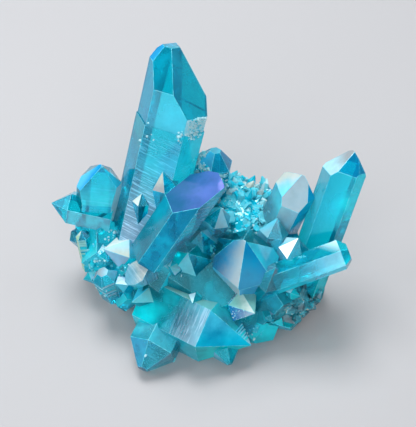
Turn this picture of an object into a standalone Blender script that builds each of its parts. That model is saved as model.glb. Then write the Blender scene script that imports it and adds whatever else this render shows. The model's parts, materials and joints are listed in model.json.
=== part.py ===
"""Aura quartz cluster: six-sided quartz points of many sizes grown together on one stone core.

Built in metres with +Z up and the viewer on the -Y side. Every point and every lump of the core is a
block cut by flat planes, and all of them are joined in one solid that is cut off flat underneath.
"""
import math
from typing import NamedTuple

import bmesh
import bpy
from mathutils import Vector

MM = 0.001
SIX_SIDES = 6
SIDE_STEP = math.radians(360 / SIX_SIDES)

# Quartz end faces stand at this angle between their normal and the long axis of the point.
END_FACE_TILT = math.radians(51.8)

# Stock block that every piece is cut from, larger than any piece.
STOCK_MM = 400

# Successive lump faces and small points turn by the golden angle, which spreads them evenly.
GOLDEN_ANGLE = math.radians(137.5)

# The flat underside is cut this far above the lowest lumps.
BASE_CUT_MM = 1.0

EVEN_SIDES = (1, 1, 1, 1, 1, 1)
EVEN_ENDS = (0, 0, 0, 0, 0, 0)


class Point(NamedTuple):
    """A quartz point, placed by its tip. Lengths in millimetres and angles in degrees."""

    tip: tuple
    lean: float
    heading: float
    roll: float
    half_width: float
    length: float
    sides: tuple = EVEN_SIDES
    ends: tuple = EVEN_ENDS
    blunt: float = 0


class Lump(NamedTuple):
    """A faceted lump of the core, in millimetres."""

    centre: tuple
    radii: tuple
    faces: int
    turn: float
    small_points: int


# Lean is the angle from upright. Heading is the compass of the lean, with 0 to the right and 90 away
# from the viewer. Sides scale the distance of each long face from the axis. Ends raise or lower each
# end face along the axis. Blunt is how much of the tip is broken off.
LARGE_POINTS = {
    "tall_point": Point(
        (-6, 27.5, 78), 26, 57, 110, 9, 64,
        sides=(0.95, 1.05, 1, 1, 0.95, 1), ends=(-1, -6, -2, 8, 8, 6)),
    "tall_point_step": Point(
        (-6, 27.5, 78), 26, 57, 110, 9.3, 64,
        sides=(0.95, 1.05, 1, 1, 0.95, 1), ends=(9, 9, 9, 9, 9, 9), blunt=23),
    "violet_point": Point(
        (0, -1, 56), 35, 26, 139, 5.7, 35,
        sides=(1.05, 1, 1.2, 1.2, 1.1, 0.9), ends=(6, 6, 6, 6, 6, -7.5)),
    "rose_point": Point(
        (10, -14, 41), 12, -101, 237, 8.4, 26,
        sides=(0.95, 1.1, 1.25, 1, 1, 1), ends=(-2.5, -1.5, 0, 0, 0, 0.5)),
    "right_point": Point(
        (43, 11, 54), 29, 58, 104, 5.6, 50,
        sides=(0.95, 1.1, 0.95, 1, 1.05, 1), ends=(0, 2, 0, 0, 0, -1.5)),
    "cream_point": Point(
        (28.5, 5.5, 48.5), 16, 13, 91, 5.4, 30,
        sides=(0.9, 1.05, 1.05, 1, 0.9, 1.15), ends=(-2, -3, 0, 0, 0, 2.5)),
    "left_point": Point(
        (-32.5, 10, 48), 8, 5, 177, 5.8, 30,
        sides=(0.85, 1.05, 1, 1, 0.9, 1.15), ends=(0, 0.5, 0, 0, 0, -0.5)),
    "low_right_point": Point((45, -11, 33.5), 72, 12, 20, 4.2, 27, blunt=3),
    "front_point": Point((15, -31, 9.5), 91, -30, 10, 10.5, 38, ends=(-2, -2, -2, -2, -2, -2)),
    "corner_point": Point((-21, -37, 4), 102, -115, 0, 7, 24, blunt=2),
    "far_left_point": Point((-50, 10, 30), 80, 172, 10, 4.8, 20),
    "back_dome_point": Point((2.5, 18, 48), 12, 60, 20, 5.4, 24, blunt=2),
    "front_keel_point": Point((7, -35, 5), 100, -75, 0, 6, 22, blunt=1),
}

MIDDLE_POINTS = {
    "left_lobe": Point((-44, 5, 22), 25, 200, 10, 2.4, 12),
    "green_point": Point((-40, 2, 26), 12, 110, 10, 2, 16),
    "white_point": Point((-32.5, -5.5, 26), 55, 200, 0, 5, 20),
    "grey_point": Point((-26, -18, 25.5), 86, 216, 30, 4, 17, ends=(0, -3, 0, 0, 0, 0)),
    "lilac_point": Point((-28.5, -15, 21), 40, 225, 0, 2.4, 12),
    "striped_point": Point((-33, -11.5, 24), 12, 200, 0, 3.6, 15, blunt=2),
    "dark_small_point": Point((-28, -12, 20), 5, -90, 0, 2.4, 14, blunt=0.5),
    "bright_small_point": Point((-13.5, 5.5, 49.5), 15, 120, 30, 3.8, 22),
    "round_small_point": Point((-20, 4, 42), 10, 70, 0, 2.6, 18),
    "olive_point": Point((-23.5, -20, 18), 70, 215, 0, 4.5, 16),
    "front_ledge_point": Point((14, -26, 21), 60, -60, 0, 5, 16),
    "valley_front_point": Point((-6, -14, 35), 35, -95, 20, 7, 22),
    "valley_middle_point": Point((-2, -8, 38), 20, -80, 0, 6, 22),
    "valley_back_point": Point((4, -2, 42), 15, 0, 20, 4, 22),
    "right_valley_point": Point((21, -2, 37), 20, 60, 0, 4, 20),
    "flash_point": Point((27, -9, 36), 10, 0, 0, 4.2, 22),
    "blue_side_point": Point((20, -17, 32), 20, -40, 0, 5, 20),
    "back_point": Point((-8, 38, 34), 55, 85, 0, 6, 38),
    "back_right_point": Point((12, 28, 16), 75, 80, 0, 5, 24),
    "back_left_point": Point((-24, 24, 20), 65, 130, 0, 5, 26),
    "back_far_right_point": Point((30, 24, 14), 80, 45, 0, 5, 24),
}

CORE_LUMPS = {
    "middle_lump": Lump((0, 2, 14), (28, 22, 17), 18, 0, 46),
    "right_lump": Lump((18, -7, 10), (16, 13, 11), 14, 1, 24),
    "front_lump": Lump((-2, -17, 8), (17, 11, 8), 14, 2, 12),
    "left_lump": Lump((-24, -2, 13), (12, 11, 9), 14, 3, 22),
    "back_lump": Lump((6, 14, 13), (17, 13, 15), 16, 4, 44),
    "violet_seat": Lump((-15, -10, 22), (7, 6, 7), 12, 6, 0),
    "far_left_lump": Lump((-32, 4, 17), (7.5, 10, 8), 12, 5, 18),
}

# Broken stone on the lower right side, where the core shows bare.
RUBBLE_LUMPS = {
    "rubble_upper": Lump((31, -8, 15), (5, 4, 4), 10, 0.5, 0),
    "rubble_middle": Lump((27, -11, 11), (5, 4, 4), 11, 1.5, 0),
    "rubble_lower": Lump((23, -16.5, 6), (6, 4, 4), 10, 2.5, 0),
    "rubble_side": Lump((33, -3, 8), (4, 5, 5), 11, 3.5, 0),
    "rubble_foot": Lump((15, -21, 5), (6, 4, 4), 10, 4.5, 0),
    "rubble_left": Lump((-26, -11, 10), (4, 4, 4), 10, 5.5, 0),
}

# Chips broken out of faces and edges.
CHIPS = {
    "tall_point_chip": Lump((6.5, 15, 60), (2.5, 3, 3.5), 9, 0.7, 0),
    "tall_point_edge_chip": Lump((7, 25.5, 72), (1.6, 1.6, 1.6), 8, 1.7, 0),
    "rubble_chip_upper": Lump((32, -13, 12), (2.5, 2.5, 2), 9, 2.7, 0),
    "rubble_chip_lower": Lump((26, -20, 8), (2.5, 2.5, 2), 9, 3.7, 0),
    "front_chip": Lump((-12, -35, 12), (3, 2, 2), 9, 4.7, 0),
    "right_point_chip": Lump((33, 3, 46), (1.5, 1.5, 2), 8, 5.7, 0),
}

# Small points stand all over the core wherever its surface does not face the ground.
SMALL_POINT_LOWEST_FACING = -0.2
SMALL_POINT_HALF_WIDTH = 1.6
SMALL_POINT_WIDTH_SPREAD = 0.6
SMALL_POINT_LENGTH_IN_WIDTHS = 5.0
SMALL_POINT_RISE_IN_WIDTHS = 2.4
SMALL_POINT_TILT = 22


def long_axis(lean, heading):
    """Unit vector of a point that leans from upright towards a heading."""
    lean = math.radians(lean)
    heading = math.radians(heading)
    across = math.sin(lean)
    return Vector((across * math.cos(heading), across * math.sin(heading), math.cos(lean)))


def block_cut_by(planes):
    """Cut the stock block by (normal, distance) planes, distances in millimetres."""
    block = bmesh.new()
    bmesh.ops.create_cube(block, size=STOCK_MM)
    for normal, distance in planes:
        geometry = block.verts[:] + block.edges[:] + block.faces[:]
        cut = bmesh.ops.bisect_plane(
            block, geom=geometry, dist=0.001, plane_co=normal * distance, plane_no=normal, clear_outer=True)
        rim = [item for item in cut["geom_cut"] if isinstance(item, bmesh.types.BMEdge)]
        if rim:
            bmesh.ops.edgeloop_fill(block, edges=rim)
    bmesh.ops.recalc_face_normals(block, faces=block.faces[:])
    return block


def point_planes(point):
    """Planes of a quartz point: six long faces, six end faces, the inner end and a blunt tip."""
    axis = long_axis(point.lean, point.heading)
    upward = (Vector((0, 0, 1)) - axis * axis.z).normalized()
    sideways = upward.cross(axis)
    tip = Vector(point.tip)
    foot = tip - axis * point.length
    planes = []
    for side in range(SIX_SIDES):
        turn = math.radians(point.roll) + SIDE_STEP * side
        outward = sideways * math.cos(turn) + upward * math.sin(turn)
        half_width = point.half_width * point.sides[side]
        planes.append((outward, outward.dot(foot) + half_width))
        end_normal = outward * math.sin(END_FACE_TILT) + axis * math.cos(END_FACE_TILT)
        planes.append((end_normal, end_normal.dot(tip + axis * point.ends[side])))
    planes.append((-axis, -axis.dot(foot)))
    if point.blunt:
        planes.append((axis, axis.dot(tip - axis * point.blunt)))
    return planes


def lump_planes(lump):
    """Planes that touch a stretched ball at evenly spread places."""
    centre = Vector(lump.centre)
    planes = []
    for face in range(lump.faces):
        height = 1 - 2 * (face + 0.5) / lump.faces
        ring = math.sqrt(1 - height * height)
        turn = GOLDEN_ANGLE * face + lump.turn
        reach = (ring * math.cos(turn), ring * math.sin(turn), height)
        normal = Vector([part / radius for part, radius in zip(reach, lump.radii)]).normalized()
        touch = centre + Vector([part * radius for part, radius in zip(reach, lump.radii)])
        planes.append((normal, normal.dot(touch)))
    return planes


def small_points_on(lump):
    """Small quartz points spread evenly over a lump, each growing roughly outward."""
    centre = Vector(lump.centre)
    points = []
    for number in range(lump.small_points):
        height = 1 - 2 * (number + 0.5) / lump.small_points
        if height < SMALL_POINT_LOWEST_FACING:
            continue
        ring = math.sqrt(1 - height * height)
        turn = GOLDEN_ANGLE * number + 2 * lump.turn
        reach = Vector((ring * math.cos(turn), ring * math.sin(turn), height))
        touch = centre + Vector([part * radius for part, radius in zip(reach, lump.radii)])
        sway = math.sin(5 * number + lump.turn)
        half_width = SMALL_POINT_HALF_WIDTH + SMALL_POINT_WIDTH_SPREAD * math.sin(3 * number + lump.turn)
        lean = math.degrees(math.acos(reach.z)) + SMALL_POINT_TILT * sway
        heading = math.degrees(math.atan2(reach.y, reach.x)) + SMALL_POINT_TILT * sway
        tip = touch + long_axis(lean, heading) * half_width * SMALL_POINT_RISE_IN_WIDTHS
        length = half_width * SMALL_POINT_LENGTH_IN_WIDTHS
        points.append(Point(tuple(tip), lean, heading, 40 * number, half_width, length))
    return points


def add_piece(name, planes, collection):
    """Make one closed piece in metres and put it in a collection."""
    block = block_cut_by(planes)
    for vertex in block.verts:
        vertex.co *= MM
    mesh = bpy.data.meshes.new(name)
    block.to_mesh(mesh)
    block.free()
    piece = bpy.data.objects.new(name, mesh)
    collection.objects.link(piece)
    return piece


def hide_helper(piece):
    """Keep a helper piece out of the finished part."""
    piece.hide_render = True
    piece.display_type = "WIRE"


def apply_boolean(target, operation, helper=None, group=None):
    """Apply one exact Boolean to the target."""
    modifier = target.modifiers.new("boolean", "BOOLEAN")
    modifier.operation = operation
    modifier.solver = "EXACT"
    if group:
        modifier.operand_type = "COLLECTION"
        modifier.collection = group
    else:
        modifier.object = helper
    bpy.context.view_layer.objects.active = target
    bpy.ops.object.modifier_apply(modifier=modifier.name)


def aura_material():
    """Clear blue-green quartz."""
    material = bpy.data.materials.new("aura_quartz")
    material.use_nodes = True
    surface = material.node_tree.nodes["Principled BSDF"]
    surface.inputs["Base Color"].default_value = (0.03, 0.52, 0.64, 1)
    surface.inputs["Roughness"].default_value = 0.08
    surface.inputs["Transmission Weight"].default_value = 0.6
    surface.inputs["IOR"].default_value = 1.54
    material.diffuse_color = (0.03, 0.52, 0.64, 1)
    return material


def outer_shell_only(cluster):
    """Fill any gap that the joined pieces seal in, by dropping every shell but the outer one."""
    shape = bmesh.new()
    shape.from_mesh(cluster.data)
    waiting = set(shape.faces)
    shells = []
    while waiting:
        shell = [waiting.pop()]
        for face in shell:
            for edge in face.edges:
                for neighbour in edge.link_faces:
                    if neighbour in waiting:
                        waiting.remove(neighbour)
                        shell.append(neighbour)
        shells.append(shell)
    shells.sort(key=len)
    for shell in shells[:-1]:
        bmesh.ops.delete(shape, geom=shell, context="FACES")
    shape.to_mesh(cluster.data)
    shape.free()


def settle_on_origin(cluster):
    """Put the middle of the flat underside's bounding box on the origin."""
    corners = [vertex.co for vertex in cluster.data.vertices]
    low = Vector([min(corner[axis] for corner in corners) for axis in range(3)])
    high = Vector([max(corner[axis] for corner in corners) for axis in range(3)])
    rest = Vector(((low.x + high.x) / 2, (low.y + high.y) / 2, low.z))
    for vertex in cluster.data.vertices:
        vertex.co -= rest


def build():
    """Build the cluster as one solid."""
    for leftover in list(bpy.data.objects):
        bpy.data.objects.remove(leftover, do_unlink=True)
    scene_root = bpy.context.scene.collection

    cluster = add_piece("quartz_cluster", lump_planes(CORE_LUMPS["middle_lump"]), scene_root)

    grown = bpy.data.collections.new("grown_pieces")
    scene_root.children.link(grown)
    for name, lump in {**CORE_LUMPS, **RUBBLE_LUMPS}.items():
        if name != "middle_lump":
            hide_helper(add_piece(name, lump_planes(lump), grown))
        for small_point in small_points_on(lump):
            hide_helper(add_piece(name + "_small_point", point_planes(small_point), grown))
    for name, point in {**LARGE_POINTS, **MIDDLE_POINTS}.items():
        hide_helper(add_piece(name, point_planes(point), grown))
    apply_boolean(cluster, "UNION", group=grown)

    for name, chip in CHIPS.items():
        cutter = add_piece(name, lump_planes(chip), scene_root)
        hide_helper(cutter)
        apply_boolean(cluster, "DIFFERENCE", helper=cutter)

    ground_planes = [(Vector((0, 0, 1)), BASE_CUT_MM)]
    ground = add_piece("ground_below", ground_planes, scene_root)
    hide_helper(ground)
    apply_boolean(cluster, "DIFFERENCE", helper=ground)

    outer_shell_only(cluster)
    settle_on_origin(cluster)
    cluster.data.materials.clear()
    cluster.data.materials.append(aura_material())


build()
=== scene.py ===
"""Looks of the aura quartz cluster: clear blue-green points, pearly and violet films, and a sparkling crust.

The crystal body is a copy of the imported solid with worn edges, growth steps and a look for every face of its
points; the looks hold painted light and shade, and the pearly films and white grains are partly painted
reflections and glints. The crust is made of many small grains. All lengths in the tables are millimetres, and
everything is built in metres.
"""
from __future__ import annotations

import json
import logging
import math
import random
from dataclasses import dataclass, field
from enum import Enum
from typing import Iterator, Optional, Sequence

import bmesh
import bpy
from mathutils import Matrix, Vector

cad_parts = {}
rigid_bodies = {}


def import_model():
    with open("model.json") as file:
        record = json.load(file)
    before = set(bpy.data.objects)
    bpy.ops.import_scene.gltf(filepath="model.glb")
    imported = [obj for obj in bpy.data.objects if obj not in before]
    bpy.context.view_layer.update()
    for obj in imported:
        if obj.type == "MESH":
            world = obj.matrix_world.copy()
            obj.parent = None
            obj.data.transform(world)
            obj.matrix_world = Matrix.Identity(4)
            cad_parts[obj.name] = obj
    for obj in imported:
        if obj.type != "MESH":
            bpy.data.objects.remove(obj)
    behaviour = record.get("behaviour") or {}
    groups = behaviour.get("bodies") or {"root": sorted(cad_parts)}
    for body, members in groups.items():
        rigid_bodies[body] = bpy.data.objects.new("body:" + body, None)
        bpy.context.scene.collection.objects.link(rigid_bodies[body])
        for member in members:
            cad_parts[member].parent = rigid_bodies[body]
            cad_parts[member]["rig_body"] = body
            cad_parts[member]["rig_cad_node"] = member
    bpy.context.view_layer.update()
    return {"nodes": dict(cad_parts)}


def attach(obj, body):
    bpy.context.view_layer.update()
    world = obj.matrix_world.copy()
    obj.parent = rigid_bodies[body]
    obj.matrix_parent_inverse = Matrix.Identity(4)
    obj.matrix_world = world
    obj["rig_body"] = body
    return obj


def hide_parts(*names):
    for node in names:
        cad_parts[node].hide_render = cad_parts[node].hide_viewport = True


log = logging.getLogger("quartz_cluster")

MM = 0.001
SIDES = 6
SIDE_STEP = math.radians(360 / SIDES)
END_FACE_TILT = math.radians(51.8)
NODE = "quartz_cluster"

# The tables of points are laid out around the middle of the core, and the part's origin lies here in them.
PART_ORIGIN_MM = Vector((-1.35, 0.95, 1.0))

# Corners nearer to a cutting plane than this are taken to lie on it.
CUT_SLACK_M = 1e-7
# A face whose look would sweep over less than this is taken to sweep over this much.
LEAST_SPAN_M = 1e-6
# A face that is nearer to straight across its point's axis than this has no growth direction of its own.
LEAST_SLOPE = 1e-3

Colour = tuple[float, float, float]
Place = tuple[float, float, float]


class FaceKind(Enum):
    """Kinds of face on a quartz point."""

    LONG = "L"
    END = "E"
    BLUNT = "B"
    FACET = "F"


class GrainShape(Enum):
    """Shapes of the grains in the crust."""

    POINT = "point"
    PLATE = "plate"
    SHARD = "shard"


class Finish(Enum):
    """Material slots of the crystal body, in order."""

    CLEAR = 0
    EDGE_WEAR_AND_GLINT = 1
    BARE_STONE = 2


@dataclass(frozen=True)
class QuartzPoint:
    """A quartz point as the part's source places it.

    Lean is the angle from upright, in degrees. Heading is where it leans to, with 0 to the right and 90 to
    the back. Roll turns the point about its axis. Sides scale the distance of each long face, ends move each
    end face outwards and blunt is how much of the tip a flat face takes off.
    """

    tip: Place
    lean: float
    heading: float
    roll: float
    half_width: float
    length: float
    sides: tuple = (1, 1, 1, 1, 1, 1)
    ends: tuple = (0, 0, 0, 0, 0, 0)
    blunt: float = 0

    def axis(self) -> Vector:
        """Unit vector along the point, towards its tip."""
        lean, heading = math.radians(self.lean), math.radians(self.heading)
        across = math.sin(lean)
        return Vector((across * math.cos(heading), across * math.sin(heading), math.cos(lean)))

    def top(self) -> Vector:
        """The tip in millimetres from the part's origin."""
        return Vector(self.tip) - PART_ORIGIN_MM

    def outward(self, turn: float) -> Vector:
        """Direction away from the axis.

        Args:
            turn: Turn around the axis, in radians.

        Returns:
            The direction, as a unit vector.
        """
        axis = self.axis()
        upward = (Vector((0, 0, 1)) - axis * axis.z).normalized()
        return upward.cross(axis) * math.cos(turn) + upward * math.sin(turn)

    def cut(self, facet: "Facet") -> tuple[Vector, float]:
        """Work out the plane of an extra facet.

        Args:
            facet: The facet.

        Returns:
            Outward normal and distance in millimetres from the part's origin.
        """
        tilt = math.radians(facet.tilt)
        normal = self.outward(math.radians(facet.turn)) * math.cos(tilt) + self.axis() * math.sin(tilt)
        return normal, normal.dot(self.top() - self.axis() * facet.depth)

    def planes(self) -> list[tuple[FaceKind, int, Vector, float]]:
        """Outward planes of the point in millimetres from the part's origin.

        Returns:
            Rows of face kind, face number, normal and distance.
        """
        axis, tip = self.axis(), self.top()
        foot = tip - axis * self.length
        rows = []
        for side in range(SIDES):
            outward = self.outward(math.radians(self.roll) + SIDE_STEP * side)
            width = self.half_width * self.sides[side]
            rows.append((FaceKind.LONG, side, outward, outward.dot(foot) + width))
            slope = outward * math.sin(END_FACE_TILT) + axis * math.cos(END_FACE_TILT)
            rows.append((FaceKind.END, side, slope, slope.dot(tip + axis * self.ends[side])))
        if self.blunt:
            rows.append((FaceKind.BLUNT, 0, axis, axis.dot(tip - axis * self.blunt)))
        return rows


def slant(right: float, up: float) -> Place:
    """A direction on the slope that faces the front and the sky: to the right and uphill."""
    return right, 0.77 * up, 0.64 * up


# Tints of the quartz and its films. FLASH is a painted reflection of a bright light, and WHITE, CREAM,
# SOFT_CREAM, PINK_CREAM and PEARL are partly the pale coating and partly painted reflections of the sky.
FLASH = (1.0, 1.0, 0.98)
WHITE = (0.55, 0.82, 0.87)
CREAM = (0.62, 0.74, 0.68)
PALE_BLUE = (0.16, 0.62, 0.80)
MAUVE = (0.26, 0.42, 0.54)
HAZE = (0.28, 0.29, 0.29)
SOFT_CREAM = (0.42, 0.47, 0.41)
PINK_CREAM = (0.38, 0.48, 0.50)
GREY = (0.12, 0.32, 0.40)
PEARL = (0.34, 0.58, 0.66)
VIOLET = (0.01, 0.19, 0.50)
PURPLE = (0.045, 0.105, 0.32)
TEAL = (0.0, 0.20, 0.29)
DUSK = (0.005, 0.09, 0.19)
DEEP_BLUE = (0.0, 0.17, 0.38)
BLUE = (0.0, 0.26, 0.58)
SKY = (0.08, 0.48, 0.84)
GREEN_CREAM = (0.20, 0.50, 0.44)
LEAF = (0.30, 0.52, 0.28)
LILAC = (0.40, 0.57, 0.72)


@dataclass(frozen=True)
class FaceLook:
    """How one face of a point looks, from the start to the end of its sweep direction.

    Tone makes the quartz behind the face deeper (0) or brighter (1); besides the quartz's depth it holds
    painted light and shade, raised on faces that the lamps leave in shade and lowered on faces they light
    strongly. Cover is how much of it the film hides, from 0 to 1, and an end value beyond them holds the film
    back from that end.
    The film is the aura coating, and its white, cream and pearl tints are also painted reflections of the sky
    and of bright lights. The film's tint goes from low to high. Lines is the strength of the growth lines.
    """

    tone: float = 0.4
    tone_end: Optional[float] = None
    low: Colour = PALE_BLUE
    high: Optional[Colour] = None
    cover: float = 0.0
    cover_end: Optional[float] = None
    sweep: Place = slant(0, 1)
    lines: float = 0.0


@dataclass(frozen=True)
class GrowthSteps:
    """Raised bands across a face, as quartz grows them.

    Start and end are millimetres below the tip, and rise is the height of a band.
    """

    start: float
    end: float
    bands: int
    rise: float = 0.09


@dataclass(frozen=True)
class Facet:
    """A flat cut that brings a point's end nearer to the real one.

    Turn is the angle around the axis, in degrees. Tilt is how far the cut's outward direction is raised
    towards the tip, from 0 for a cut along the point to 90 for one straight across it. Depth is where the cut
    crosses the axis, in millimetres below the tip.
    """

    turn: float
    tilt: float
    depth: float


POINTS: dict[str, QuartzPoint] = {
    "tall_point": QuartzPoint(
        (-6, 27.5, 78), 26, 57, 110, 9, 64, (0.95, 1.05, 1, 1, 0.95, 1), (-1, -6, -2, 8, 8, 6)),
    "tall_point_step": QuartzPoint(
        (-6, 27.5, 78), 26, 57, 110, 9.3, 64, (0.95, 1.05, 1, 1, 0.95, 1), (9, 9, 9, 9, 9, 9), 23),
    "violet_point": QuartzPoint(
        (0, -1, 56), 35, 26, 139, 5.7, 35, (1.05, 1, 1.2, 1.2, 1.1, 0.9), (6, 6, 6, 6, 6, -7.5)),
    "rose_point": QuartzPoint(
        (10, -14, 41), 12, -101, 237, 8.4, 26, (0.95, 1.1, 1.25, 1, 1, 1), (-2.5, -1.5, 0, 0, 0, 0.5)),
    "right_point": QuartzPoint(
        (43, 11, 54), 29, 58, 104, 5.6, 50, (0.95, 1.1, 0.95, 1, 1.05, 1), (0, 2, 0, 0, 0, -1.5)),
    "cream_point": QuartzPoint(
        (28.5, 5.5, 48.5), 16, 13, 91, 5.4, 30, (0.9, 1.05, 1.05, 1, 0.9, 1.15), (-2, -3, 0, 0, 0, 2.5)),
    "left_point": QuartzPoint(
        (-32.5, 10, 48), 8, 5, 177, 5.8, 30, (0.85, 1.05, 1, 1, 0.9, 1.15), (0, 0.5, 0, 0, 0, -0.5)),
    "low_right_point": QuartzPoint((45, -11, 33.5), 72, 12, 20, 4.2, 27, blunt=3),
    "front_point": QuartzPoint((15, -31, 9.5), 91, -30, 10, 10.5, 38, ends=(-2, -2, -2, -2, -2, -2)),
    "corner_point": QuartzPoint((-21, -37, 4), 102, -115, 0, 7, 24, blunt=2),
    "far_left_point": QuartzPoint((-50, 10, 30), 80, 172, 10, 4.8, 20),
    "back_dome_point": QuartzPoint((2.5, 18, 48), 12, 60, 20, 5.4, 24, blunt=2),
    "front_keel_point": QuartzPoint((7, -35, 5), 100, -75, 0, 6, 22, blunt=1),
    "left_lobe": QuartzPoint((-44, 5, 22), 25, 200, 10, 2.4, 12),
    "green_point": QuartzPoint((-40, 2, 26), 12, 110, 10, 2, 16),
    "white_point": QuartzPoint((-32.5, -5.5, 26), 55, 200, 0, 5, 20),
    "grey_point": QuartzPoint((-26, -18, 25.5), 86, 216, 30, 4, 17, ends=(0, -3, 0, 0, 0, 0)),
    "lilac_point": QuartzPoint((-28.5, -15, 21), 40, 225, 0, 2.4, 12),
    "striped_point": QuartzPoint((-33, -11.5, 24), 12, 200, 0, 3.6, 15, blunt=2),
    "dark_small_point": QuartzPoint((-28, -12, 20), 5, -90, 0, 2.4, 14, blunt=0.5),
    "bright_small_point": QuartzPoint((-13.5, 5.5, 49.5), 15, 120, 30, 3.8, 22),
    "round_small_point": QuartzPoint((-20, 4, 42), 10, 70, 0, 2.6, 18),
    "olive_point": QuartzPoint((-23.5, -20, 18), 70, 215, 0, 4.5, 16),
    "front_ledge_point": QuartzPoint((14, -26, 21), 60, -60, 0, 5, 16),
    "valley_front_point": QuartzPoint((-6, -14, 35), 35, -95, 20, 7, 22),
    "valley_middle_point": QuartzPoint((-2, -8, 38), 20, -80, 0, 6, 22),
    "valley_back_point": QuartzPoint((4, -2, 42), 15, 0, 20, 4, 22),
    "right_valley_point": QuartzPoint((21, -2, 37), 20, 60, 0, 4, 20),
    "flash_point": QuartzPoint((27, -9, 36), 10, 0, 0, 4.2, 22),
    "blue_side_point": QuartzPoint((20, -17, 32), 20, -40, 0, 5, 20),
    "back_point": QuartzPoint((-8, 38, 34), 55, 85, 0, 6, 38),
    "back_right_point": QuartzPoint((12, 28, 16), 75, 80, 0, 5, 24),
    "back_left_point": QuartzPoint((-24, 24, 20), 65, 130, 0, 5, 26),
    "back_far_right_point": QuartzPoint((30, 24, 14), 80, 45, 0, 5, 24),
}

# Tones and covers are set face by face to the brightness that each face shows, so besides the quartz's depth
# and coating they hold painted light and shade: tone is raised on faces that the lamps leave in shade and
# lowered on faces that they light strongly, and white, cream and pearl covers are also painted reflections.
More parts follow.
